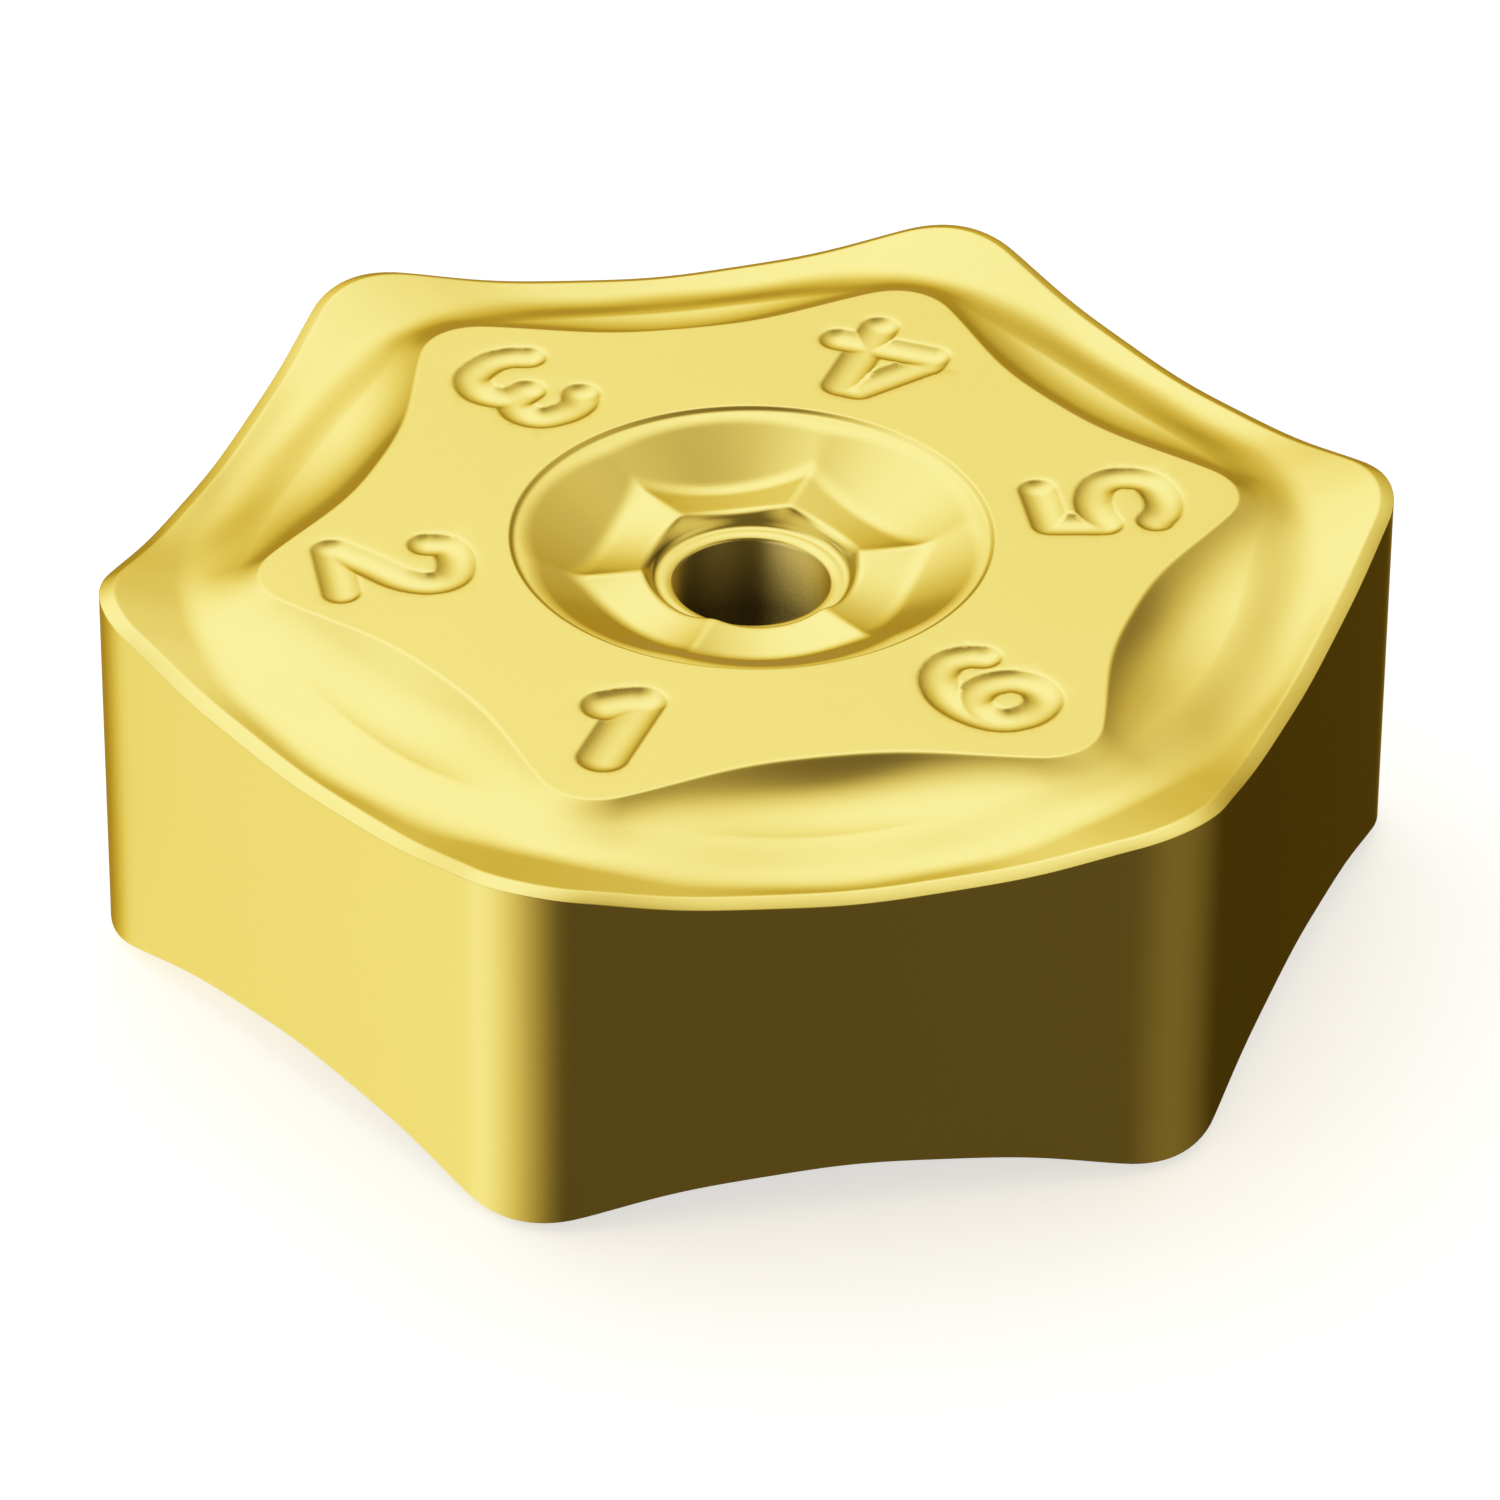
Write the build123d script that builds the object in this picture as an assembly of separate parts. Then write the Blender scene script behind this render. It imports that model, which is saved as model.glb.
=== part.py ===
from build123d import *
import math
import os

# Hexagonal milling insert in coated carbide, one solid.
# Millimetres, +Z up. The origin is the centre of the lower seat face, on the axis of the bore.
# A corner points along -X. Upper and lower sides are alike: each is the other's mirror image
# in the plane at half height, so the insert can be turned over and used again.

# Blank
apothem = 8.0               # half the width across flats
corner_radius = 1.6
thickness = 5.56            # from seat face to seat face
edges = 6

# The dimensions in fours below swing along each edge: at its middle, at the corner, and how much
# the value at the quarter point stands off the mean of those two, then how far that leans.

# Cutting edge: how far it lies below the seat face
edge_drop = (0.670, 0.133, 0.120, 0.045)

# Land: the narrow bevel just inside the cutting edge, rising inwards
land_width = 0.20
land_rise = (0.085, 0.063, 0, 0)

# Chip groove: how far its lowest line stands in from the flank, how deep it lies, and the width
# over which the flat rake face rounds into it
groove_inset = (0.520, 1.270, -0.223, -0.10)
groove_drop = (0.648, 0.325, 0.035, 0)
groove_round = 0.22

# Shelf: the crease half way up the scoop, and the slopes in degrees with which the ramp arrives
# at it from outside and the spoon-shaped hollow leaves it inwards
shelf_inset = (1.32, 1.79, -0.055, 0)
shelf_drop = (0.470, 0.185, 0.010, 0)
ramp_slope = (9, 22, -6.5, 0)
spoon_slope = (-3, 22, -5.5, 0)

# Seat outline: concave at the middle of each edge, a round lobe at each corner
seat_inset = (2.513, 2.178, 0.094, 0)
wall_slope = (44, 26, -1.0, 0)

# Countersink: a stepped rim with a ledge, and six scallops that make its wall. Each scallop is a
# cone on an axis of its own, set out from the bore, and each ends on a wide trough of the floor.
rim_radius = 3.335
rim_step = 0.06
rim_step_width = 0.072
ledge_radius = 2.9
ledge_drop = 0.096
scallop_offset = 0.77
scallop_radius = 2.35
scallop_drop = 0.075
wall_angle = 32.8           # slope of the countersink wall
flute_radius = 2.6
flute_drop = 0.414          # of the trough's bottom line where it meets the axis
flute_fall = 5.1            # degrees by which that line falls outwards

# Socket ring and bore
socket_radius = 1.475
socket_wall_drop = 0.56
socket_floor_radius = 1.385
socket_floor_drop = 0.80
bead_radius = 1.20
bead_drop = 0.745
bore_radius = 1.085
bore_mouth_drop = 0.79

# How far the cutting shapes reach past the blank
overshoot = 0.6
wall_reach = 1.15

section_count = 17          # radial outlines along each edge, closer together towards the corners

sector = 360 / edges
half_sector = math.pi / edges
flat_half = (apothem - corner_radius) * math.tan(half_sector)
corner_centre = (apothem - corner_radius) / math.cos(half_sector)


def swing(angle, dimension):
    """Value of a swinging dimension at an angle from the middle of the edge."""
    middle, corner, quarter, lean = dimension
    turn = edges * angle
    even = corner + (middle - corner) * (1 + math.cos(turn)) / 2
    bulge = quarter * (1 - math.cos(2 * turn)) / 2
    return even + bulge + lean * (math.cos(3 * turn) - math.cos(turn)) / 2


def flank_radius(angle):
    """Distance from the axis to the flank, straight along the edge and round at the corner."""
    angle = abs(angle)
    if apothem * math.tan(angle) <= flat_half:
        return apothem / math.cos(angle)
    off = half_sector - angle
    side = corner_centre * math.sin(off)
    return corner_centre * math.cos(off) + math.sqrt(corner_radius**2 - side**2)


def rising(outer, outer_slope, inner, inner_slope):
    """Control points of a smooth climb inwards between two (radius, drop) spots, slopes as tangents."""
    third = (outer[0] - inner[0]) / 3
    leaving = (outer[0] - third, outer[1] - outer_slope * third)
    arriving = (inner[0] + third, inner[1] + inner_slope * third)
    return [outer, leaving, arriving, inner]


def carried_on(spots, reach):
    """The control points of the same curve run on from 1 to the parameter reach."""
    rows = [list(spots)]
    while len(rows[-1]) > 1:
        last = rows[-1]
        pairs = zip(last, last[1:])
        rows.append([tuple(p * (1 - reach) + q * reach for p, q in zip(a, b)) for a, b in pairs])
    return [row[0] for row in rows]


def section(angle):
    """Closed outline of the material taken off above one radial line across the edge."""
    turn = angle + half_sector

    def place(spots):
        return [Vector(r * math.cos(turn), r * math.sin(turn), thickness - drop) for r, drop in spots]

    rim = flank_radius(angle)
    rim_drop = swing(angle, edge_drop)
    rise = swing(angle, land_rise)
    land = (rim - land_width, rim_drop - rise)
    groove = (rim - swing(angle, groove_inset), swing(angle, groove_drop))
    shelf = (rim - swing(angle, shelf_inset), swing(angle, shelf_drop))
    seat = (rim - swing(angle, seat_inset), 0)
    rake_width = land[0] - groove[0] - groove_round / 2
    rake = (land[1] - groove[1]) / rake_width
    rounding = (groove[0] + groove_round, groove[1] + rake * groove_round / 2)
    ramp = math.tan(math.radians(swing(angle, ramp_slope)))
    spoon = math.tan(math.radians(swing(angle, spoon_slope)))
    steep = math.tan(math.radians(swing(angle, wall_slope)))
    wall = carried_on(rising(shelf, spoon, seat, steep), wall_reach)
    outside = (rim + overshoot, rim_drop + rise * overshoot / land_width)
    roof_in = (wall[-1][0], -overshoot)
    roof_out = (rim + overshoot, -overshoot)
    return Wire([
        Edge.make_line(*place([outside, land])),
        Edge.make_line(*place([land, rounding])),
        Edge.make_bezier(*place(rising(rounding, rake, groove, 0))),
        Edge.make_bezier(*place(rising(groove, 0, shelf, ramp))),
        Edge.make_bezier(*place(wall)),
        Edge.make_line(*place([wall[-1], roof_in])),
        Edge.make_line(*place([roof_in, roof_out])),
        Edge.make_line(*place([roof_out, outside])),
    ])


def chip_groove():
    """Material taken off along one edge, from corner to corner."""
    steps = [math.pi * (i / (section_count - 1) - 0.5) for i in range(section_count)]
    return Solid.make_loft([section(half_sector * math.sin(step)) for step in steps])


def blank():
    """Hexagonal prism with round corners."""
    flat = RegularPolygon(apothem / math.cos(half_sector), edges)
    rounded = fillet(flat.vertices(), corner_radius)
    return extrude(rounded, thickness)


def turned(points):
    """Solid of revolution about the axis from radius and drop pairs, closed on the axis."""
    places = [(radius, thickness - drop) for radius, drop in points]
    outline = Plane.XZ * make_face(Polyline(*places, close=True))
    return revolve(outline, Axis.Z)


def flute():
    """One wide trough of the countersink floor, running out from the axis."""
    reach = rim_radius + overshoot
    trough = Cylinder(flute_radius, reach, align=(Align.CENTER, Align.CENTER, Align.MIN))
    lying = Plane((0, 0, thickness - flute_drop + flute_radius), z_dir=(1, 0, 0)) * trough
    pivot = Axis((0, 0, thickness - flute_drop), (0, 1, 0))
    return lying.rotate(pivot, flute_fall)


def scallop():
    """One sixth of the countersink wall, kept only where the trough reaches as deep."""
    tip_drop = scallop_drop + scallop_radius * math.tan(math.radians(wall_angle))
    cone = turned([
        (0, -overshoot),
        (scallop_radius, -overshoot),
        (scallop_radius, scallop_drop),
        (0, tip_drop),
    ])
    return (Pos(scallop_offset, 0, 0) * cone) & flute()


def countersink():
    """Stepped rim and ledge, with the scallops inside them."""
    rim = turned([
        (0, -overshoot),
        (rim_radius, -overshoot),
        (rim_radius, 0),
        (rim_radius - rim_step_width, rim_step),
        (ledge_radius, ledge_drop),
        (0, ledge_drop),
    ])
    one = scallop().rotate(Axis.Z, sector / 2)
    return [rim] + [one.rotate(Axis.Z, sector * i) for i in range(edges)]


def socket():
    """Round well inside the troughs, with the bead around the mouth of the bore."""
    return turned([
        (0, -overshoot),
        (socket_radius, -overshoot),
        (socket_radius, socket_wall_drop),
        (socket_floor_radius, socket_floor_drop),
        (bead_radius, bead_drop),
        (bore_radius, bore_mouth_drop),
        (0, bore_mouth_drop),
    ])


def upper_cuts():
    groove = chip_groove()
    grooves = [groove.rotate(Axis.Z, sector * i) for i in range(edges)]
    return grooves + countersink() + [socket()]


def insert_body():
    above = upper_cuts()
    middle = Plane.XY.offset(thickness / 2)
    below = [cut.mirror(middle) for cut in above]
    bore = Pos(0, 0, thickness / 2) * Cylinder(bore_radius, thickness + 2 * overshoot)
    return blank() - above - below - bore


insert = insert_body()
insert.label = "insert_body"
os.makedirs("parts", exist_ok=True)
export_step(insert, "parts/insert_body.step")
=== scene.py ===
import math

import bmesh
import bpy
import numpy as np
from mathutils import Matrix, Vector
from mathutils.geometry import delaunay_2d_cdt


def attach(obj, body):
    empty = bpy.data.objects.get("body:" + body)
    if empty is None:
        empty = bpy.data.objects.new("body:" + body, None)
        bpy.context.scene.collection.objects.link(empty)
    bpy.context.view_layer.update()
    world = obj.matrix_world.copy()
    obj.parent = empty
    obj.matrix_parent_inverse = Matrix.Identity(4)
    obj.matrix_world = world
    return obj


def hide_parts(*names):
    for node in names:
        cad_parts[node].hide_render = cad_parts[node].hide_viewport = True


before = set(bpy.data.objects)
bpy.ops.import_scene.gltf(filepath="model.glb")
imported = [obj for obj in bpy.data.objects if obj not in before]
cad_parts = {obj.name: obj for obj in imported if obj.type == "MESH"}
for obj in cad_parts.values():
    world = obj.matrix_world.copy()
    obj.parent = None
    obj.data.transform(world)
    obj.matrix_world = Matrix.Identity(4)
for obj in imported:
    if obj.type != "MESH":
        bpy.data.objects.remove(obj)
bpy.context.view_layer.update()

# Hexagonal carbide insert with a golden hard coating. Shapes are worked out in millimetres from
# the middle of the insert and written to the meshes in metres from the lower seat face.

MM = 0.001
HALF_THICKNESS = 2.78
EDGES = 6
SECTOR = 2 * math.pi / EDGES
HALF_SECTOR = SECTOR / 2

# Flank
APOTHEM = 8.0
CORNER_RADIUS = 1.6
CORNER_CENTRE = (APOTHEM - CORNER_RADIUS) / math.cos(HALF_SECTOR)
EDGE_HONE = 0.008

# Chip former. Fours swing along an edge: at its middle, at the corner, how far the quarter point
# stands off the mean of those two, and how far that leans.
EDGE_DROP = (0.670, 0.133, 0.120, 0.045)
LAND_WIDTH = 0.20
LAND_RISE = (0.085, 0.063, 0, 0)
GROOVE_INSET = (0.520, 1.270, -0.223, -0.10)
GROOVE_DROP = (0.648, 0.325, 0.035, 0)
GROOVE_ROUND = 0.22
SHELF_INSET = (1.32, 1.79, -0.055, 0)
SHELF_DROP = (0.470, 0.185, 0.010, 0)
RAMP_SLOPE = (9, 22, -6.5, 0)
SPOON_SLOPE = (-3, 22, -5.5, 0)
SEAT_INSET = (2.513, 2.178, 0.094, 0)
WALL_SLOPE = (44, 26, -1.0, 0)
LAND_CREASE = 0.03          # reach of the small rounding along the land's inner side
SEAT_EDGE_ROUND = 0.035
SEAT_MARGIN = 0.12

# Countersink, socket and bore. Each sixth of the wall is a scallop round an axis of its own.
RIM_RADIUS = 3.335
RIM_STEP = 0.06
RIM_STEP_WIDTH = 0.072
LEDGE_RADIUS = 2.9
LEDGE_DROP = 0.096
SCALLOP_OFFSET = 0.585
SCALLOP_RADIUS = 2.51
SCALLOP_DROP = 0.11
WALL_ANGLE = 29.9
FLUTE_RADIUS = 3.24
FLUTE_DROP = 0.30
FLUTE_FALL = 9.5
FLUTE_REACH = 2.4           # how far across a trough its curve is followed
SOCKET_SHOULDER = 0.12
SOCKET_RADIUS = 1.50
SOCKET = [                  # radius and drop of the bends of its wall, its bead and its lip
    (1.40, 0.60), (1.365, 0.70), (1.30, 0.745), (1.20, 0.735), (1.11, 0.765),
]
BORE_RADIUS = 1.085
BORE_MOUTH_DROP = 0.79
BORE_MOUTH_ROUND = 0.03

# Difference in drop below which two surfaces of the countersink run into each other
STEP_BLEND = 0.02
SCALLOP_BLEND = 0.015
LEDGE_BLEND = 0.05
FLUTE_BLEND = 0.05
FOOT_BLEND = 0.09

# Numerals, each a set of strokes round a point on a corner direction. In a numeral's own axes
# x runs to its right and y up, towards the bore.
NUMERAL_RADIUS = 4.95
NUMERAL_DEPTH = 0.40        # depth of a stroke as a share of its half width
BRINK_SOFTNESS = 0.016
NUMERAL_FIELD = (1.5, 1.6)  # half the width and height of the field in which each is meshed
STROKE = 0.278
NUMERALS = {
    "two": (180, [
        (STROKE, "open", [(-0.50, 0.52), (-0.40, 0.78), (-0.03, 0.855), (0.36, 0.74), (0.475, 0.42),
                          (0.30, 0.04), (-0.10, -0.32), (-0.56, -0.76)]),
        (STROKE, "straight", [(-0.565, -0.80), (0.50, -0.80)]),
    ]),
    "one": (240, [
        (0.37, "straight", [(0.005, 0.56), (0.005, -0.83)]),
        (0.36, "open", [(0.0, 0.56), (-0.16, 0.50), (-0.385, 0.33)]),
    ]),
    "six": (300, [
        (STROKE, "open", [(0.44, 0.66), (0.28, 0.80), (0.0, 0.855), (-0.33, 0.68), (-0.55, 0.30),
                          (-0.59, -0.10), (-0.48, -0.50), (-0.28, -0.72), (0.02, -0.80)]),
        (STROKE, "closed", [(0.51, -0.35), (0.37, -0.03), (0.02, 0.10), (-0.33, -0.03), (-0.47, -0.35),
                            (-0.33, -0.67), (0.02, -0.80), (0.37, -0.67)]),
    ]),
    "five": (0, [
        (STROKE, "straight", [(0.48, 0.86), (-0.40, 0.86)]),
        (STROKE, "straight", [(-0.40, 0.86), (-0.52, 0.13)]),
        (STROKE, "open", [(-0.52, 0.13), (-0.20, 0.18), (0.15, 0.15), (0.48, -0.02), (0.60, -0.32),
                          (0.45, -0.68), (0.05, -0.80), (-0.30, -0.75), (-0.54, -0.59)]),
    ]),
    "four": (60, [
        (0.29, "straight", [(0.16, 0.85), (0.16, -0.79)]),
        (0.29, "straight", [(-0.78, -0.29), (0.59, -0.29)]),
        (0.29, "straight", [(-0.10, 0.86), (-0.78, -0.10), (-0.78, -0.29)]),
        (0.29, "straight", [(-0.10, 0.86), (0.16, 0.85)]),
    ]),
    "three": (120, [
        (STROKE, "open", [(-0.50, 0.63), (-0.30, 0.82), (-0.02, 0.87), (0.32, 0.77), (0.46, 0.50),
                          (0.34, 0.20), (0.03, 0.09)]),
        (STROKE, "open", [(0.03, 0.08), (0.36, 0.06), (0.57, -0.30), (0.40, -0.68), (-0.02, -0.82),
                          (-0.32, -0.76), (-0.53, -0.60)]),
    ]),
}

# Mesh fineness
EDGE_COLUMNS = 56           # along one edge, from corner to corner
WELL_COLUMNS = 40           # across one sixth of the countersink
COLUMN_EASE = 0.55          # how strongly the columns crowd towards the sides of a sixth
FLANK_ROW = 1.8             # drop of the row between the cutting edge and mid height
EDGE_ROW = 0.25             # from the cutting edge down to the row below it
WALL_WIDTH = 0.9            # about how far the wall between shelf and seat reaches inwards
RAMP_STEPS = (0, 0.1, 0.2, 0.3, 0.4, 0.5, 0.6, 0.7, 0.8, 0.88, 0.95)
SPOON_STEPS = (0, 0.03, 0.08, 0.15, 0.22, 0.3, 0.38, 0.46, 0.54, 0.62, 0.7, 0.78, 0.86, 0.92)
WELL_ROWS = (               # radii of the first and last of some rows of the countersink, and their number
    (RIM_RADIUS + 0.06, RIM_RADIUS + 0.02, 2),
    (RIM_RADIUS + 0.005, RIM_RADIUS - 0.105, 9),
    (RIM_RADIUS - 0.13, LEDGE_RADIUS - 0.04, 14),
    (LEDGE_RADIUS - 0.08, SOCKET_RADIUS + 0.15, 28),
)
BORE_ROWS = (BORE_MOUTH_DROP + 0.05, 1.6, HALF_THICKNESS)
ROW_SHARE = 0.866           # of a step, between the rows of a grid of even triangles
LINE_STEP = 0.02            # between points along a stroke's middle line
CUT_STEP = 0.045            # between points inside a numeral
BRINK_ROWS = (              # offset from a stroke's brink, and the step between points there
    (-0.028, 0.04), (-0.012, 0.04), (0.0, 0.04), (0.014, 0.04), (0.045, 0.06), (0.14, 0.16),
)
BRINK_CLEAR = 0.05          # between the points inside a stroke and its brink
BRINK_TOLERANCE = 0.004     # by which a point of such a row may miss its offset
LEAST_STEP = 0.016          # below which one of two points in a numeral is dropped
LEAST_DEPTH = 0.0012        # below which a numeral's brink is level with the seat
SEAT_STEP = 0.42            # between points on the plain seat
SEAT_REACH = 7              # of the square field from which those points are taken
SEAT_CLEAR = 0.2            # between them and the outline
CUT_CLEAR = 0.25            # and between them and the countersink or a numeral
MERGE_DISTANCE = 0.0002

# Coating. Fades are in millimetres.
COATING_TONES = ((0.925, 0.813, 0.275), (0.94, 0.833, 0.297))
COATING_EDGE_TINT = (0.95, 0.75, 0.2)
COATING_ROUGHNESS = (0.20, 0.24)
CLOUD_SCALE = 420
GRAIN_SCALE = 26000
GRAIN_STRENGTH = 0.04
GRAIN_DEPTH = 0.01
BORE_SHADE_TONES = ((0.10, 0.08, 0.04), (0.84, 0.74, 0.32))   # painted shade: dark deep inside the bore, lighter at the mouth
BORE_SHADE_FADE = (0.9, 2.0)                             # distance from mid height over which the painted shade in the bore fades
BORE_WALL_FADE = (0.010, 0.002)                         # distance outside the bore's wall
BORE_SPECKS = 0.3
BORE_MATTNESS = 0.08

# Camera at the photograph's place. It looks past the middle of the insert by the two shifts.
CAMERA_AZIMUTH = 259.726    # round the insert, where 0 is +X
CAMERA_ELEVATION = 34.066
CAMERA_ROLL = -0.450
CAMERA_DISTANCE = 132.818
CAMERA_SHIFT_RIGHT = 0.008
CAMERA_SHIFT_DOWN = -0.6525
PHOTO_WIDTH = 1500          # in pixels, as the focal length below
FOCAL_LENGTH = 9578
SENSOR_WIDTH = 36

# Studio. Directions are in degrees, and azimuths are counted with the camera at 270.
STUDIO_TURN = CAMERA_AZIMUTH - 270
LAMPS = [                   # azimuth, elevation, and strengths by the angle off the lamp
    (113, 41, [(0, 0.68), (30, 0.64), (42, 0.58), (52, 0.42), (62, 0.15), (80, 0.1)]),
    (121, 55, [(0, 0.4), (25, 0.32), (50, 0)]),
    (12, 44, [(0, 0.3), (25, 0.13), (50, 0)]),
    (205, 22, [(0, 0.55), (25, 0.4), (45, 0)]),
    (330, 10, [(0, 0.5), (20, 0.4), (42, 0)]),
]
BRIGHTEST = 1.2             # top of the scale on which light goes from gold to white
WARMTH_STOPS = 9
FLOOR_REACH = 3000
FLOOR_COLOUR = (0.72, 0.765, 0.97)
FLOOR_GLOW = 0.65           # light of its own that the camera, metal and glass see
SKIRT = [                   # azimuths and strengths, eased from one to the next
    (50, 0.04), (88, 0.33), (112, 0.3), (184, 0.98), (279, 0.065), (335, 0.14), (410, 0.04),
]
SKIRT_REACH = 2000
SKIRT_HEIGHT = 0.02
SKIRT_TUCK = 0.05           # from the foot of a corner inwards to where the spokes start
SPOKE_NORMALS = range(150, 392, 2)  # directions in which the corners face where a spoke starts
SPOKE_AZIMUTHS = (90, 450)          # range of the spokes that are kept
UNDER_SHARE = 0.58          # strength under the insert, as a share of the skirt outside it
UNDER_TURN = 15             # and the angle by which it leads the skirt
UNDER_STEP = 5
UNDER_RIM = 0.02            # from the flank inwards to the edge of the card under the insert
UNDER_HUB = 1.0


def swing(angle, dimension):
    """Value of a swinging dimension at angles from the middle of the edge."""
    middle, corner, quarter, lean = dimension
    turn = EDGES * angle
    even = corner + (middle - corner) * (1 + np.cos(turn)) / 2
    return even + quarter * (1 - np.cos(2 * turn)) / 2 + lean * (np.cos(3 * turn) - np.cos(turn)) / 2


def flank_radius(angle):
    """Distance from the axis to the flank, straight along the edge and round at the corner."""
    angle = np.abs(angle)
    off = HALF_SECTOR - angle
    side = np.minimum(CORNER_CENTRE * np.sin(off), CORNER_RADIUS)
    round_part = CORNER_CENTRE * np.cos(off) + np.sqrt(CORNER_RADIUS**2 - side**2)
    straight = APOTHEM * np.tan(angle) <= (APOTHEM - CORNER_RADIUS) * math.tan(HALF_SECTOR)
    return np.where(straight, APOTHEM / np.cos(angle), round_part)


def climb(outer, outer_slope, inner, inner_slope, steps):
    """Spots along a smooth climb inwards between two (radius, drop) spots, slopes as tangents."""
    third = (outer[0] - inner[0]) / 3
    a, d = np.array(outer), np.array(inner)
    b = np.array((outer[0] - third, outer[1] - outer_slope * third))
    c = np.array((inner[0] + third, inner[1] + inner_slope * third))
    out = []
    for t in steps:
        s = 1 - t
        out.append(s**3 * a + 3 * s * s * t * b + 3 * s * t * t * c + t**3 * d)
    return out


def bend(before, corner, after, steps):
    """Spots along a small rounding of a corner between two spots."""
    a, b, c = np.array(before), np.array(corner), np.array(after)
    return [(1 - t)**2 * a + 2 * t * (1 - t) * b + t * t * c for t in steps]


def toward(start, end, distance):
    """The spot at a distance from start on the way to end."""
    a, b = np.array(start), np.array(end)
    return a + (b - a) * distance / np.linalg.norm(b - a, axis=0)


def columns(count):
    """Angles of the columns across one sixth, closer together towards its sides."""
    even = np.linspace(-1, 1, count + 1)
    return HALF_SECTOR * ((1 - COLUMN_EASE) * even + COLUMN_EASE * np.sin(even * math.pi / 2))


def chip_former_rows():
    """Rings of (radius, drop) spots over the columns of one edge, from mid height to the seat."""
    angles = columns(EDGE_COLUMNS)
    rim = flank_radius(angles)
    rim_drop = swing(angles, EDGE_DROP)
    edge = (rim, rim_drop)
    land = (rim - LAND_WIDTH, rim_drop - swing(angles, LAND_RISE))
    groove = (rim - swing(angles, GROOVE_INSET), swing(angles, GROOVE_DROP))
    shelf = (rim - swing(angles, SHELF_INSET), swing(angles, SHELF_DROP))
    seat = (rim - swing(angles, SEAT_INSET), 0 * rim)
    rake = (land[1] - groove[1]) / (land[0] - groove[0] - GROOVE_ROUND / 2)
    rounding = (groove[0] + GROOVE_ROUND, groove[1] + rake * GROOVE_ROUND / 2)
    ramp = np.tan(np.radians(swing(angles, RAMP_SLOPE)))
    spoon = np.tan(np.radians(swing(angles, SPOON_SLOPE)))
    wall = np.tan(np.radians(swing(angles, WALL_SLOPE)))

    drops = (0 * rim + HALF_THICKNESS, 0 * rim + FLANK_ROW, rim_drop + EDGE_ROW, rim_drop + 2.2 * EDGE_HONE)
    rows = [np.array((rim, drop)) for drop in drops]
    rows += bend((rim, rim_drop + EDGE_HONE), edge, toward(edge, land, EDGE_HONE), np.linspace(0, 1, 5))
    rows.append(toward(edge, land, LAND_WIDTH / 2))
    crease = (toward(land, edge, LAND_CREASE), land, toward(land, rounding, LAND_CREASE))
    rows += bend(*crease, np.linspace(0, 1, 4))
    start = toward(land, rounding, 2 * LAND_CREASE)
    rows += [start + (np.array(rounding) - start) * t for t in (0, 0.35, 0.7)]
    rows += climb(rounding, rake, groove, 0 * rim, np.linspace(0, 1, 6)[:-1])
    rows += climb(groove, 0 * rim, shelf, ramp, RAMP_STEPS)
    rows += climb(shelf, spoon, seat, wall, SPOON_STEPS)
    before = climb(shelf, spoon, seat, wall, [1 - SEAT_EDGE_ROUND / WALL_WIDTH])[0]
    rows += bend(before, seat, (seat[0] - SEAT_EDGE_ROUND, seat[1]), np.linspace(0, 1, 5))
    rows.append(np.array((seat[0] - 1.8 * SEAT_EDGE_ROUND, seat[1])))
    rows.append(np.array((seat[0] - SEAT_MARGIN, seat[1])))
    return angles, rows


def soft_least(a, b, reach):
    """The lesser of two fields, blended where they are within reach of each other."""
    near = np.maximum(reach - np.abs(a - b), 0) / reach
    return np.minimum(a, b) - near * near * reach / 4


def deepest(fields, reach):
    """The greatest of several fields, blended where two are within reach of each other."""
    best = fields[0]
    for field in fields[1:]:
        best = -soft_least(-best, -field, reach)
    return best


def well_drop(radius, angle):
    """Drop of the countersink at a radius and an angle from the middle of the edge."""
    step = (RIM_RADIUS - radius) * RIM_STEP / RIM_STEP_WIDTH
    step_foot = RIM_RADIUS - RIM_STEP_WIDTH
    fall = (LEDGE_DROP - RIM_STEP) / (step_foot - LEDGE_RADIUS)
    ledge = RIM_STEP + (step_foot - radius) * fall
    side = np.maximum(soft_least(ledge, step, STEP_BLEND), 0)
    steep = math.tan(math.radians(WALL_ANGLE))
    walls, troughs = [], []
    for turn in (-SECTOR, 0, SECTOR):
        along = radius * np.cos(angle - turn)
        across = radius * np.sin(angle - turn)
        reach = np.hypot(along - SCALLOP_OFFSET, across)
        walls.append(SCALLOP_DROP + (SCALLOP_RADIUS - reach) * steep)
        rise = FLUTE_RADIUS - np.sqrt(FLUTE_RADIUS**2 - np.minimum(np.abs(across), FLUTE_REACH)**2)
        troughs.append(FLUTE_DROP + along * math.tan(math.radians(FLUTE_FALL)) - rise)
    side = deepest([side, deepest(walls, SCALLOP_BLEND)], LEDGE_BLEND)
    return soft_least(side, deepest(troughs, FLUTE_BLEND), FOOT_BLEND)


def well_rows():
    """Rings of (radius, drop) spots over the columns of one sixth of the countersink."""
    angles = columns(WELL_COLUMNS)
    rows = []
    for radius in np.concatenate([np.linspace(*run) for run in WELL_ROWS]):
        ring = np.full(angles.shape, radius)
        rows.append(np.array((ring, well_drop(ring, angles))))
    flat = 0 * angles
    brink = (flat + SOCKET_RADIUS + SOCKET_SHOULDER, flat + SOCKET_RADIUS)
    bends = [(ring, well_drop(ring, angles)) for ring in brink]
    bends += [(flat + radius, flat + drop) for radius, drop in SOCKET]
    bends += [(flat + BORE_RADIUS, flat + BORE_MOUTH_DROP + deeper) for deeper in (0, BORE_MOUTH_ROUND)]
    bends = np.array(bends)
    for before, here, after in zip(bends, bends[1:], bends[2:]):
        rows += bend((before + here) / 2, here, (here + after) / 2, np.linspace(0, 0.8, 5))
    rows += [np.array((flat + BORE_RADIUS, flat + drop)) for drop in BORE_ROWS]
    return angles, rows


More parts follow.
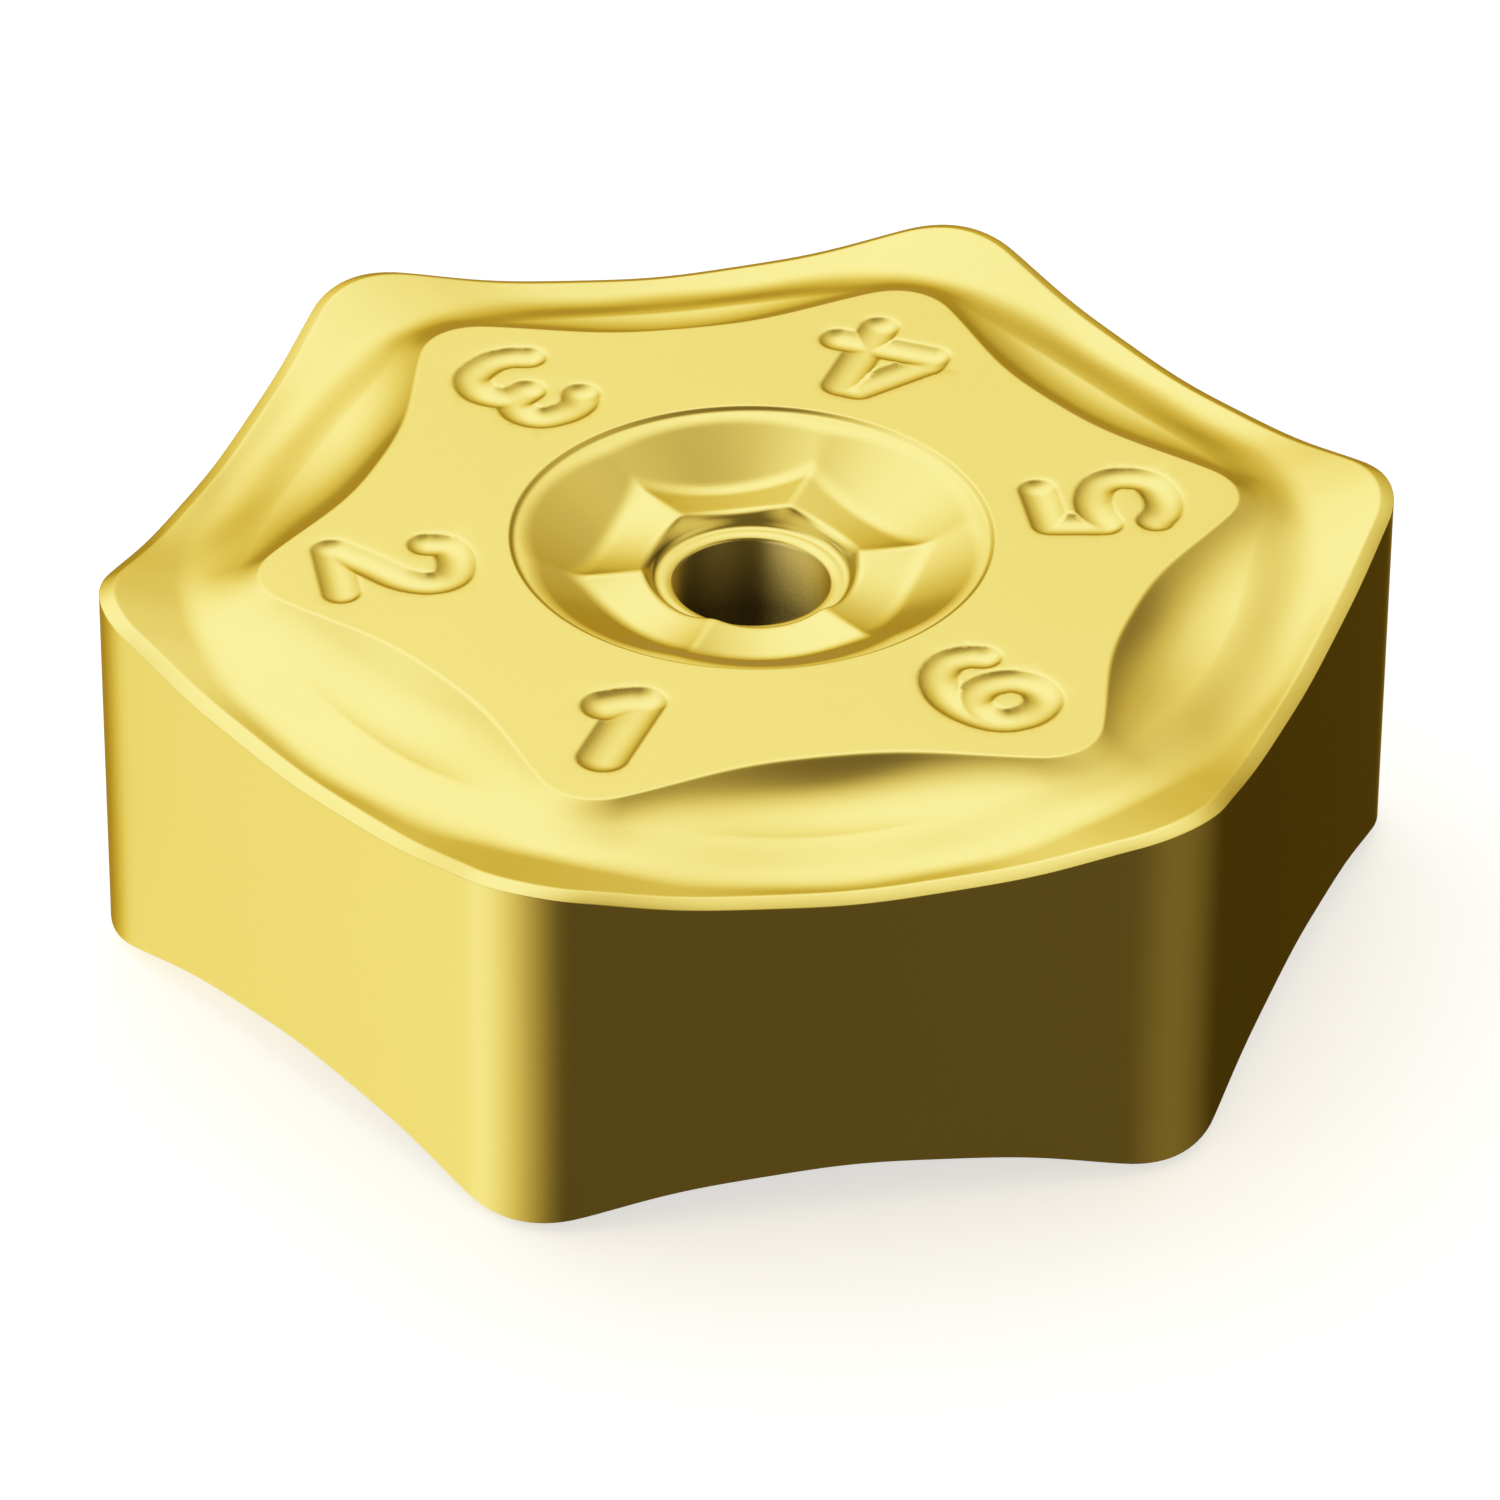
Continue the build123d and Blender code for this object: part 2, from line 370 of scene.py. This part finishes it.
def sheet(angles, rows, turn):
    """Vertices and faces of a sheet of rows over columns, its middle turned to an angle."""
    count = len(angles)
    points = []
    for radius, drop in rows:
        x = radius * np.cos(angles + turn)
        y = radius * np.sin(angles + turn)
        points.append(np.stack([x, y, HALF_THICKNESS - drop], axis=1))
    faces = []
    for j in range(len(rows) - 1):
        for i in range(count - 1):
            a = j * count + i
            faces.append((a, a + 1, a + count + 1, a + count))
    return np.concatenate(points), faces


def mesh_object(name, points, faces):
    """A new object from points in millimetres from the middle of the insert."""
    mesh = bpy.data.meshes.new(name)
    mesh.from_pydata([tuple(p) for p in np.asarray(points) * MM], [], faces)
    piece = bpy.data.objects.new(name, mesh)
    bpy.context.scene.collection.objects.link(piece)
    return piece


def smooth_line(spots, closed):
    """Closely spaced points on a smooth curve through the spots."""
    p = np.array(spots, float)
    n = len(p)
    if closed:
        before, after = np.roll(p, 1, 0), np.roll(p, -1, 0)
        tangent = (after - before) / 2
        runs = n
    else:
        tangent = np.gradient(p, axis=0)
        runs = n - 1
    out = []
    for i in range(runs):
        a, b = p[i], p[(i + 1) % n]
        size = np.linalg.norm(b - a)
        m, k = tangent[i], tangent[(i + 1) % n]
        steps = max(2, int(size / LINE_STEP))
        for t in np.arange(steps) / steps:
            out.append((2 * t**3 - 3 * t**2 + 1) * a + (t**3 - 2 * t**2 + t) * m
                       + (3 * t**2 - 2 * t**3) * b + (t**3 - t**2) * k)
    out.append(p[0] if closed else p[-1])
    return np.array(out)


def line_points(spots):
    """Closely spaced points on straight runs between the spots."""
    out = []
    for a, b in zip(np.array(spots, float), np.array(spots[1:], float)):
        steps = max(2, int(np.linalg.norm(b - a) / LINE_STEP))
        out += [a + (b - a) * t for t in np.arange(steps) / steps]
    out.append(np.array(spots[-1], float))
    return np.array(out)


def stroke_distance(points, line):
    """Distance of each point to a line given as closely spaced points."""
    best = np.full(len(points), 1e9)
    for a, b in zip(line, line[1:]):
        run = b - a
        t = np.clip(((points - a) @ run) / (run @ run), 0, 1)
        gap = points - (a + t[:, None] * run)
        best = np.minimum(best, np.einsum("ij,ij->i", gap, gap))
    return np.sqrt(best)


def cut_depth(distance, half):
    """Depth of a round-nosed stroke at a distance from its line, with a softened brink."""
    depth = NUMERAL_DEPTH * half
    nose = (half**2 + depth**2) / (2 * depth)
    inside = np.sqrt(np.maximum(nose**2 - np.minimum(distance, half)**2, 0)) - (nose - depth)
    slope = half / math.sqrt(nose**2 - half**2)
    raw = np.where(distance <= half, inside, -slope * (distance - half))
    return (raw + np.sqrt(raw * raw + BRINK_SOFTNESS**2)) / 2


class Numeral:
    """One engraved numeral, placed on the seat."""

    def __init__(self, angle, strokes):
        turn = math.radians(angle)
        self.out = np.array((math.cos(turn), math.sin(turn)))
        self.right = np.array((-math.sin(turn), math.cos(turn)))
        self.strokes = []
        for half, kind, spots in strokes:
            line = line_points(spots) if kind == "straight" else smooth_line(spots, kind == "closed")
            self.strokes.append((half, line))

    def to_seat(self, local):
        """Places on the seat of points in the numeral's own axes."""
        return self.out * (NUMERAL_RADIUS - local[:, 1:2]) + self.right * local[:, 0:1]

    def to_local(self, points):
        """Points of the seat in the numeral's own axes."""
        return np.stack([points @ self.right, NUMERAL_RADIUS - points @ self.out], axis=1)

    def depth(self, local):
        """Depth of the cut, of the deepest stroke where several meet."""
        cuts = [cut_depth(stroke_distance(local, line), half) for half, line in self.strokes]
        return np.max(cuts, axis=0)

    def gap(self, local):
        """Distance outside the nearest stroke's brink, negative inside it."""
        return np.min([stroke_distance(local, line) - half for half, line in self.strokes], axis=0)

    def points(self):
        """Mesh points in and round the numeral, on the seat."""
        half_width, half_height = NUMERAL_FIELD
        x = np.arange(-half_width, half_width, CUT_STEP)
        y = np.arange(-half_height, half_height, CUT_STEP * ROW_SHARE)
        grid = np.array([(a + (CUT_STEP / 2 if j % 2 else 0), b) for j, b in enumerate(y) for a in x])
        kept = [grid[self.gap(grid) < -BRINK_CLEAR]]
        for offset, spacing in BRINK_ROWS:
            for half, line in self.strokes:
                ring = offset_ring(line, half + offset, spacing)
                kept.append(ring[np.abs(self.gap(ring) - offset) < BRINK_TOLERANCE])
        return self.to_seat(np.concatenate(kept))


def offset_ring(line, distance, spacing):
    """Points at a distance on both sides of a line and round its ends."""
    tangent = np.gradient(line, axis=0)
    tangent /= np.linalg.norm(tangent, axis=1)[:, None]
    normal = np.stack([-tangent[:, 1], tangent[:, 0]], axis=1)
    every = max(1, round(spacing / LINE_STEP))
    spots, away = line[::every], normal[::every] * distance
    sides = [spots + away, spots - away]
    closed = np.linalg.norm(line[0] - line[-1]) < 1e-6
    if not closed:
        for spot in (line[0], line[-1]):
            turns = np.arange(0, 2 * math.pi, spacing / distance)
            sides.append(spot + distance * np.stack([np.cos(turns), np.sin(turns)], axis=1))
    return np.concatenate(sides)


def thinned(points, spacing):
    """The points with none closer than spacing to one kept before it."""
    kept, cells = [], {}
    for p in points:
        key = (int(p[0] // spacing), int(p[1] // spacing))
        near = [q for i in (-1, 0, 1) for j in (-1, 0, 1) for q in cells.get((key[0] + i, key[1] + j), ())]
        if all((p[0] - q[0])**2 + (p[1] - q[1])**2 > spacing * spacing for q in near):
            kept.append(p)
            cells.setdefault(key, []).append(p)
    return np.array(kept)


def ring_points(angles, radius):
    """Points round the whole seat at the columns of every sixth, without doubles."""
    out = []
    for k in range(EDGES):
        turned = angles[:-1] + (HALF_SECTOR + k * SECTOR)
        out.append(np.stack([radius[:-1] * np.cos(turned), radius[:-1] * np.sin(turned)], axis=1))
    return np.concatenate(out)


def seat_grid(outer):
    """Points of an even grid on the plain seat, clear of its outline and of the countersink."""
    grid = []
    for j, y in enumerate(np.arange(-SEAT_REACH, SEAT_REACH, SEAT_STEP * ROW_SHARE)):
        for x in np.arange(-SEAT_REACH, SEAT_REACH, SEAT_STEP):
            grid.append((x + (SEAT_STEP / 2 if j % 2 else 0), y))
    grid = np.array(grid)
    radius = np.linalg.norm(grid, axis=1)
    angle = np.arctan2(grid[:, 1], grid[:, 0]) % (2 * math.pi)
    reach = np.interp(angle, *outline_table(outer))
    return grid[(radius > RIM_RADIUS + CUT_CLEAR) & (radius < reach - SEAT_CLEAR)]


def seat_triangles(points, outer, inner):
    """Triangles between two rings, which come first among the points, all facing up."""
    loops = [(i, (i + 1) % len(outer)) for i in range(len(outer))]
    start = len(outer)
    loops += [(start + i, start + (i + 1) % len(inner)) for i in range(len(inner))]
    result = delaunay_2d_cdt([Vector(p) for p in points], loops, [], 0, 1e-7)
    flat = np.array([tuple(v) for v in result[0]])
    faces = np.array([f for f in result[2] if len(f) == 3])
    middle = flat[faces].mean(axis=1)
    angle = np.arctan2(middle[:, 1], middle[:, 0]) % (2 * math.pi)
    size = np.linalg.norm(middle, axis=1)
    faces = faces[(size < chord_radius(angle, outer)) & (size > chord_radius(angle, inner))]
    a, b, c = (flat[faces[:, i]] for i in range(3))
    cross = (b[:, 0] - a[:, 0]) * (c[:, 1] - a[:, 1]) - (b[:, 1] - a[:, 1]) * (c[:, 0] - a[:, 0])
    faces[cross < 0] = faces[cross < 0][:, ::-1]
    return flat, faces


def seat_plate(name, outer, inner, numerals):
    """The flat seat between the chip former and the countersink, with its numerals cut in."""
    grid = seat_grid(outer)
    fine = []
    for numeral in numerals:
        grid = grid[numeral.gap(numeral.to_local(grid)) > CUT_CLEAR]
        fine.append(numeral.points())
    inside = thinned(np.concatenate(fine), LEAST_STEP) if fine else np.zeros((0, 2))
    flat, faces = seat_triangles(np.concatenate([outer, inner, inside, grid]), outer, inner)
    depth = np.zeros(len(flat))
    half_width, half_height = NUMERAL_FIELD
    for numeral in numerals:
        local = numeral.to_local(flat)
        near = (np.abs(local[:, 0]) < half_width + 0.1) & (np.abs(local[:, 1]) < half_height + 0.1)
        depth[near] = numeral.depth(local[near])
    depth[depth < LEAST_DEPTH] = 0
    spots = np.column_stack([flat, HALF_THICKNESS - depth])
    return mesh_object(name, spots, [tuple(int(i) for i in f) for f in faces])


def outline_table(ring):
    """Angles and radii of a closed ring of points in order of angle, run on past both ends."""
    angle = np.arctan2(ring[:, 1], ring[:, 0]) % (2 * math.pi)
    order = np.argsort(angle)
    radius = np.linalg.norm(ring, axis=1)[order]
    angle = angle[order]
    return (np.concatenate([[angle[-1] - 2 * math.pi], angle, [angle[0] + 2 * math.pi]]),
            np.concatenate([[radius[-1]], radius, [radius[0]]]))


def chord_radius(angle, ring):
    """Radius of a closed ring of points at an angle, along its straight chords."""
    table, size = outline_table(ring)
    i = np.clip(np.searchsorted(table, angle) - 1, 0, len(table) - 2)
    a0, a1, r0, r1 = table[i], table[i + 1], size[i], size[i + 1]
    return r0 * r1 * np.sin(a1 - a0) / (r0 * np.sin(angle - a0) + r1 * np.sin(a1 - angle))


def wire(tree, start, end):
    """Joins an output to an input."""
    tree.links.new(start, end)


def feed(tree, term, socket):
    """Gives an input its term: another node's output, a colour or a number."""
    if isinstance(term, bpy.types.NodeSocket):
        wire(tree, term, socket)
    else:
        socket.default_value = (*term, 1) if isinstance(term, tuple) else term


def worked_out(tree, operation, *terms):
    """Output of a math node."""
    node = tree.nodes.new("ShaderNodeMath")
    node.operation = operation
    for term, socket in zip(terms, node.inputs):
        feed(tree, term, socket)
    return node.outputs["Value"]


def spread(tree, value, start=(0, 1), end=(0, 1)):
    """Output of a node that maps a value from one range to another."""
    node = tree.nodes.new("ShaderNodeMapRange")
    node.inputs["From Min"].default_value, node.inputs["From Max"].default_value = start
    node.inputs["To Min"].default_value, node.inputs["To Max"].default_value = end
    wire(tree, value, node.inputs["Value"])
    return node.outputs["Result"]


def blended(tree, factor, first, second):
    """Output of a node that goes from the first colour to the second."""
    node = tree.nodes.new("ShaderNodeMix")
    node.data_type = "RGBA"
    for term, name in ((factor, "Factor"), (first, "A"), (second, "B")):
        feed(tree, term, node.inputs[name])
    return node.outputs["Result"]


def noise(tree, place, scale, detail):
    """Output of a noise texture in Object coordinates."""
    node = tree.nodes.new("ShaderNodeTexNoise")
    node.inputs["Scale"].default_value = scale
    node.inputs["Detail"].default_value = detail
    wire(tree, place.outputs["Object"], node.inputs["Vector"])
    return node.outputs["Fac"]


def assembly_tree(material):
    """Repeats one sixth of the upper side round the bore, adds the seats and mirrors it below."""
    tree = bpy.data.node_groups.new("insert_assembly", "GeometryNodeTree")
    inputs = (("Geometry", "Geometry"), ("Edges", "Int"), ("Seat Height", "Float"),
              ("Merge Distance", "Float"), ("Upper Seat", "Object"), ("Lower Seat", "Object"))
    for name, kind in inputs:
        tree.interface.new_socket(name, in_out="INPUT", socket_type="NodeSocket" + kind)
    tree.interface.new_socket("Geometry", in_out="OUTPUT", socket_type="NodeSocketGeometry")
    nodes = tree.nodes
    given = nodes.new("NodeGroupInput")
    out = nodes.new("NodeGroupOutput")

    places = nodes.new("GeometryNodePoints")
    wire(tree, given.outputs["Edges"], places.inputs["Count"])
    index = nodes.new("GeometryNodeInputIndex")
    share = worked_out(tree, "DIVIDE", index.outputs[0], given.outputs["Edges"])
    turn = nodes.new("ShaderNodeCombineXYZ")
    wire(tree, worked_out(tree, "MULTIPLY", share, 2 * math.pi), turn.inputs["Z"])
    ring = nodes.new("GeometryNodeInstanceOnPoints")
    wire(tree, places.outputs[0], ring.inputs["Points"])
    wire(tree, given.outputs["Geometry"], ring.inputs["Instance"])
    wire(tree, turn.outputs[0], ring.inputs["Rotation"])

    halves = []
    for seat in ("Upper Seat", "Lower Seat"):
        info = nodes.new("GeometryNodeObjectInfo")
        wire(tree, given.outputs[seat], info.inputs["Object"])
        half = nodes.new("GeometryNodeJoinGeometry")
        wire(tree, ring.outputs[0], half.inputs[0])
        wire(tree, info.outputs["Geometry"], half.inputs[0])
        solid = nodes.new("GeometryNodeRealizeInstances")
        wire(tree, half.outputs[0], solid.inputs[0])
        halves.append(solid)
    mirror = nodes.new("GeometryNodeTransform")
    wire(tree, halves[1].outputs[0], mirror.inputs["Geometry"])
    mirror.inputs["Scale"].default_value = (1, 1, -1)
    flip = nodes.new("GeometryNodeFlipFaces")
    wire(tree, mirror.outputs[0], flip.inputs[0])
    both = nodes.new("GeometryNodeJoinGeometry")
    wire(tree, halves[0].outputs[0], both.inputs[0])
    wire(tree, flip.outputs[0], both.inputs[0])
    merged = nodes.new("GeometryNodeMergeByDistance")
    wire(tree, both.outputs[0], merged.inputs["Geometry"])
    wire(tree, given.outputs["Merge Distance"], merged.inputs["Distance"])
    lift = nodes.new("ShaderNodeCombineXYZ")
    wire(tree, given.outputs["Seat Height"], lift.inputs["Z"])
    raised = nodes.new("GeometryNodeTransform")
    wire(tree, merged.outputs[0], raised.inputs["Geometry"])
    wire(tree, lift.outputs[0], raised.inputs["Translation"])
    smooth = nodes.new("GeometryNodeSetShadeSmooth")
    wire(tree, raised.outputs[0], smooth.inputs["Geometry"])
    real = nodes.new("GeometryNodeRealizeInstances")
    wire(tree, smooth.outputs[0], real.inputs[0])
    coat = nodes.new("GeometryNodeSetMaterial")
    coat.inputs["Material"].default_value = material
    wire(tree, real.outputs[0], coat.inputs["Geometry"])
    wire(tree, coat.outputs[0], out.inputs["Geometry"])
    return tree


def made_real(piece, tree, values, name):
    """Runs a tree on a piece and keeps the result as a plain mesh whose faces point outwards."""
    modifier = piece.modifiers.new("assembly", "NODES")
    modifier.node_group = tree
    for item in tree.interface.items_tree:
        if item.in_out == "INPUT" and item.name in values:
            modifier[item.identifier] = values[item.name]
    view = bpy.context.evaluated_depsgraph_get()
    mesh = bpy.data.meshes.new_from_object(piece.evaluated_get(view))
    mesh.name = name
    piece.modifiers.clear()
    shell = bmesh.new()
    shell.from_mesh(mesh)
    bmesh.ops.recalc_face_normals(shell, faces=shell.faces)
    shell.to_mesh(mesh)
    shell.free()
    piece.data = mesh
    piece.name = name


def golden_coating():
    """Satin golden coating with a fine grain, rougher inside the bore, where painted shade darkens its
    colour towards mid height.
    """
    material = bpy.data.materials.new("golden_coating")
    material.use_nodes = True
    tree = material.node_tree
    nodes = tree.nodes
    shader = nodes["Principled BSDF"]
    shader.inputs["Metallic"].default_value = 1.0
    shader.inputs["Specular Tint"].default_value = (*COATING_EDGE_TINT, 1)
    place = nodes.new("ShaderNodeTexCoord")
    cloud = noise(tree, place, CLOUD_SCALE, 3)
    grain = noise(tree, place, GRAIN_SCALE, 2)

    level = nodes.new("ShaderNodeVectorMath")
    level.operation = "MULTIPLY"
    level.inputs[1].default_value = (1, 1, 0)
    wire(tree, place.outputs["Object"], level.inputs[0])
    radius = nodes.new("ShaderNodeVectorMath")
    radius.operation = "LENGTH"
    wire(tree, level.outputs["Vector"], radius.inputs[0])
    wall = [(BORE_RADIUS + outside) * MM for outside in BORE_WALL_FADE]
    inside = spread(tree, radius.outputs["Value"], wall)
    split = nodes.new("ShaderNodeSeparateXYZ")
    wire(tree, place.outputs["Object"], split.inputs["Vector"])
    height = worked_out(tree, "SUBTRACT", split.outputs["Z"], HALF_THICKNESS * MM)
    reach = worked_out(tree, "ABSOLUTE", height)
    # Painted shade: inside the bore the colour darkens from the mouth towards mid height, broken up by
    # grain specks.
    depth_shade = spread(tree, reach, [distance * MM for distance in BORE_SHADE_FADE])
    shade_and_specks = worked_out(tree, "MULTIPLY_ADD", grain, BORE_SPECKS, depth_shade)
    tone = blended(tree, cloud, *COATING_TONES)
    bore_shade_tone = blended(tree, shade_and_specks, *BORE_SHADE_TONES)
    wire(tree, blended(tree, inside, tone, bore_shade_tone), shader.inputs["Base Color"])

    gloss = spread(tree, cloud, end=COATING_ROUGHNESS)
    wire(tree, worked_out(tree, "MULTIPLY_ADD", inside, BORE_MATTNESS, gloss), shader.inputs["Roughness"])
    bump = nodes.new("ShaderNodeBump")
    bump.inputs["Strength"].default_value = GRAIN_STRENGTH
    bump.inputs["Distance"].default_value = GRAIN_DEPTH * MM
    wire(tree, grain, bump.inputs["Height"])
    wire(tree, bump.outputs["Normal"], shader.inputs["Normal"])
    return material


def insert_body(material):
    """The whole insert as one closed mesh."""
    angles, rows = chip_former_rows()
    outer_points, outer_faces = sheet(angles, rows, HALF_SECTOR)
    well_angles, well = well_rows()
    well_points, well_faces = sheet(well_angles, well, HALF_SECTOR)
    shift = len(outer_points)
    faces = outer_faces + [tuple(i + shift for i in f) for f in well_faces]
    piece = mesh_object("insert", np.concatenate([outer_points, well_points]), faces)
    outline = ring_points(angles, rows[-1][0])
    mouth = ring_points(well_angles, well[0][0])
    numerals = [Numeral(angle, strokes) for angle, strokes in NUMERALS.values()]
    upper = seat_plate("upper_seat", outline, mouth, numerals)
    lower = seat_plate("lower_seat", outline, mouth, [])
    values = {"Edges": EDGES, "Seat Height": HALF_THICKNESS * MM, "Merge Distance": MERGE_DISTANCE * MM,
              "Upper Seat": upper, "Lower Seat": lower}
    made_real(piece, assembly_tree(material), values, "insert")
    # In the photograph the metal mirrors the studio and not its own walls, so the same is done here.
    piece.visible_glossy = False
    for spare in (upper, lower):
        bpy.data.objects.remove(spare)
    return piece


def compass(azimuth, elevation):
    """Unit vector of a direction given in degrees."""
    a, e = math.radians(azimuth), math.radians(elevation)
    return Vector((math.cos(e) * math.cos(a), math.cos(e) * math.sin(a), math.sin(e)))


def view_camera():
    """Camera at the photograph's place, with its angle of view."""
    roll = math.radians(CAMERA_ROLL)
    forward = -compass(CAMERA_AZIMUTH, CAMERA_ELEVATION)
    level = compass(CAMERA_AZIMUTH + 90, 0)
    down = forward.cross(level)
    right = level * math.cos(roll) + down * math.sin(roll)
    down = down * math.cos(roll) - level * math.sin(roll)
    place = Vector((0, 0, HALF_THICKNESS)) - CAMERA_DISTANCE * forward
    place -= CAMERA_SHIFT_RIGHT * right + CAMERA_SHIFT_DOWN * down
    data = bpy.data.cameras.new("view_camera")
    data.sensor_width = SENSOR_WIDTH
    data.lens = SENSOR_WIDTH * FOCAL_LENGTH / PHOTO_WIDTH
    data.clip_start = 0.005
    data.clip_end = 5
    camera = bpy.data.objects.new("view_camera", data)
    turn = Matrix((right, -down, -forward)).transposed().to_4x4()
    camera.matrix_world = Matrix.Translation(place * MM) @ turn
    bpy.context.scene.collection.objects.link(camera)
    bpy.context.scene.camera = camera


def warm_light(strength):
    """Colour of the light: white where it is strong, deeper gold where it is weak."""
    return strength * (1.41 - 0.41 * strength), strength, strength * (0.4 + 0.6 * strength**3)


def lamp_strength(tree, direction, azimuth, elevation, fade):
    """Strength of one soft lamp, which fades by angle as the stops say."""
    dot = tree.nodes.new("ShaderNodeVectorMath")
    dot.operation = "DOT_PRODUCT"
    wire(tree, direction, dot.inputs[0])
    dot.inputs[1].default_value = compass(azimuth + STUDIO_TURN, elevation)
    ramp = tree.nodes.new("ShaderNodeValToRGB")
    ramp.color_ramp.interpolation = "CARDINAL"
    set_stops(ramp, [(math.cos(math.radians(angle)), [strength] * 3) for angle, strength in reversed(fade)])
    wire(tree, dot.outputs["Value"], ramp.inputs["Fac"])
    return ramp.outputs["Color"]


def set_stops(ramp, stops):
    """Gives a colour ramp its stops, as pairs of place and colour."""
    elements = ramp.color_ramp.elements
    while len(elements) < len(stops):
        elements.new(0.5)
    for element, (place, colour) in zip(elements, stops):
        element.position = max(0, place)
        element.color = (*colour, 1)


def studio_sky():
    """Two wide soft lamps behind the insert and three weak ones round it, in a dark warm room."""
    world = bpy.data.worlds.new("studio")
    bpy.context.scene.world = world
    world.use_nodes = True
    tree = world.node_tree
    place = tree.nodes.new("ShaderNodeTexCoord")
    total = 0
    for lamp in LAMPS:
        total = worked_out(tree, "ADD", total, lamp_strength(tree, place.outputs["Generated"], *lamp))
    warmth = tree.nodes.new("ShaderNodeValToRGB")
    levels = np.linspace(0, 1, WARMTH_STOPS)
    set_stops(warmth, [(level, warm_light(BRIGHTEST * level)) for level in levels])
    wire(tree, worked_out(tree, "DIVIDE", total, BRIGHTEST), warmth.inputs["Fac"])
    wire(tree, warmth.outputs["Color"], tree.nodes["Background"].inputs["Color"])


def floor_paper():
    """Matt white paper. It looks white to the camera, metal and glass, and still takes the shadow."""
    paper = bpy.data.materials.new("floor_paper")
    paper.use_nodes = True
    tree = paper.node_tree
    shader = tree.nodes["Principled BSDF"]
    shader.inputs["Base Color"].default_value = (*FLOOR_COLOUR, 1)
    shader.inputs["Roughness"].default_value = 0.9
    shader.inputs["Specular IOR Level"].default_value = 0
    shader.inputs["Emission Color"].default_value = (1, 1, 1, 1)
    path = tree.nodes.new("ShaderNodeLightPath").outputs
    seen = worked_out(tree, "MAXIMUM", path["Is Camera Ray"], path["Is Glossy Ray"])
    seen = worked_out(tree, "MAXIMUM", seen, path["Is Transmission Ray"])
    wire(tree, worked_out(tree, "MULTIPLY", seen, FLOOR_GLOW), shader.inputs["Emission Strength"])
    return paper


def studio_floor():
    """A wide plain floor."""
    sides = (-FLOOR_REACH, FLOOR_REACH)
    floor = mesh_object("floor", [(x, y, 0) for x in sides for y in sides], [(0, 2, 3, 1)])
    floor.data.materials.append(floor_paper())


def skirt_strength(azimuth):
    """Strength of the skirt in a direction, eased from one stop to the next."""
    azimuth = (azimuth - SKIRT[0][0]) % 360 + SKIRT[0][0]
    for (start, low), (end, high) in zip(SKIRT, SKIRT[1:]):
        if azimuth <= end:
            t = (azimuth - start) / (end - start)
            return low + (high - low) * t * t * (3 - 2 * t)
    return SKIRT[-1][1]


def skirt_spokes():
    """Spots and strengths of the skirt outside the insert, each spoke's foot before its far end.

    A spoke leaves its corner in the direction in which the corner reflects it to the camera.
    """
    turn = math.radians(STUDIO_TURN)
    spots, strengths = [], []
    for normal in np.radians(SPOKE_NORMALS):
        azimuth = math.degrees(2 * (normal - turn)) - 270
        if not SPOKE_AZIMUTHS[0] <= azimuth <= SPOKE_AZIMUTHS[1]:
            continue
        corner = math.pi + SECTOR * round((normal - math.pi) / SECTOR)
        foot = CORNER_CENTRE * np.array((math.cos(corner), math.sin(corner)))
        foot += (CORNER_RADIUS - SKIRT_TUCK) * np.array((math.cos(normal), math.sin(normal)))
        out = math.radians(azimuth) + turn
        far = foot + SKIRT_REACH * np.array((math.cos(out), math.sin(out)))
        spots += [(*foot, SKIRT_HEIGHT), (*far, SKIRT_HEIGHT)]
        strengths += [skirt_strength(azimuth)] * 2
    return spots, strengths


def under_card():
    """Spots and strengths of the card under the insert, at its rim and at its hub in turn."""
    spots, strengths = [], []
    for azimuth in range(0, 360, UNDER_STEP):
        angle = math.radians(azimuth + STUDIO_TURN)
        rim = float(flank_radius(angle % SECTOR - HALF_SECTOR)) - UNDER_RIM
        for radius in (rim, UNDER_HUB):
            spots.append((radius * math.cos(angle), radius * math.sin(angle), 2 * SKIRT_HEIGHT))
        strengths += [UNDER_SHARE * skirt_strength(azimuth + UNDER_TURN)] * 2
    return spots, strengths


def reflector_card():
    """Card that gives off the light painted on it."""
    card = bpy.data.materials.new("reflector_card")
    card.use_nodes = True
    tree = card.node_tree
    shader = tree.nodes["Principled BSDF"]
    shader.inputs["Base Color"].default_value = (0, 0, 0, 1)
    shader.inputs["Specular IOR Level"].default_value = 0
    shader.inputs["Emission Strength"].default_value = 1
    colour = tree.nodes.new("ShaderNodeAttribute")
    colour.attribute_name = "light"
    wire(tree, colour.outputs["Color"], shader.inputs["Emission Color"])
    return card


def reflector_skirt():
    """Card round and under the insert, bright on the left and dark in front, seen in metal only."""
    outside, strengths = skirt_spokes()
    under, under_strengths = under_card()
    start, end = len(outside), len(outside) + len(under)
    feet = list(range(0, start, 2))
    faces = [(a, a + 1, b + 1, b) for a, b in zip(feet, feet[1:] + feet[:1])]
    rims = list(range(start, end, 2))
    faces += [(a + 1, a, b, b + 1) for a, b in zip(rims, rims[1:] + rims[:1])]
    faces.append(tuple(a + 1 for a in rims))
    skirt = mesh_object("reflector_skirt", outside + under, faces)
    paint = skirt.data.color_attributes.new("light", "FLOAT_COLOR", "POINT")
    for spot, strength in zip(paint.data, strengths + under_strengths):
        spot.color = (*warm_light(strength), 1)
    skirt.data.materials.append(reflector_card())
    skirt.visible_camera = False
    skirt.visible_diffuse = False
    skirt.visible_shadow = False


bpy.context.scene.view_settings.view_transform = "Standard"
view_camera()
studio_sky()
studio_floor()
reflector_skirt()
coating = golden_coating()
insert = insert_body(coating)
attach(insert, "root")
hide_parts("insert_body")
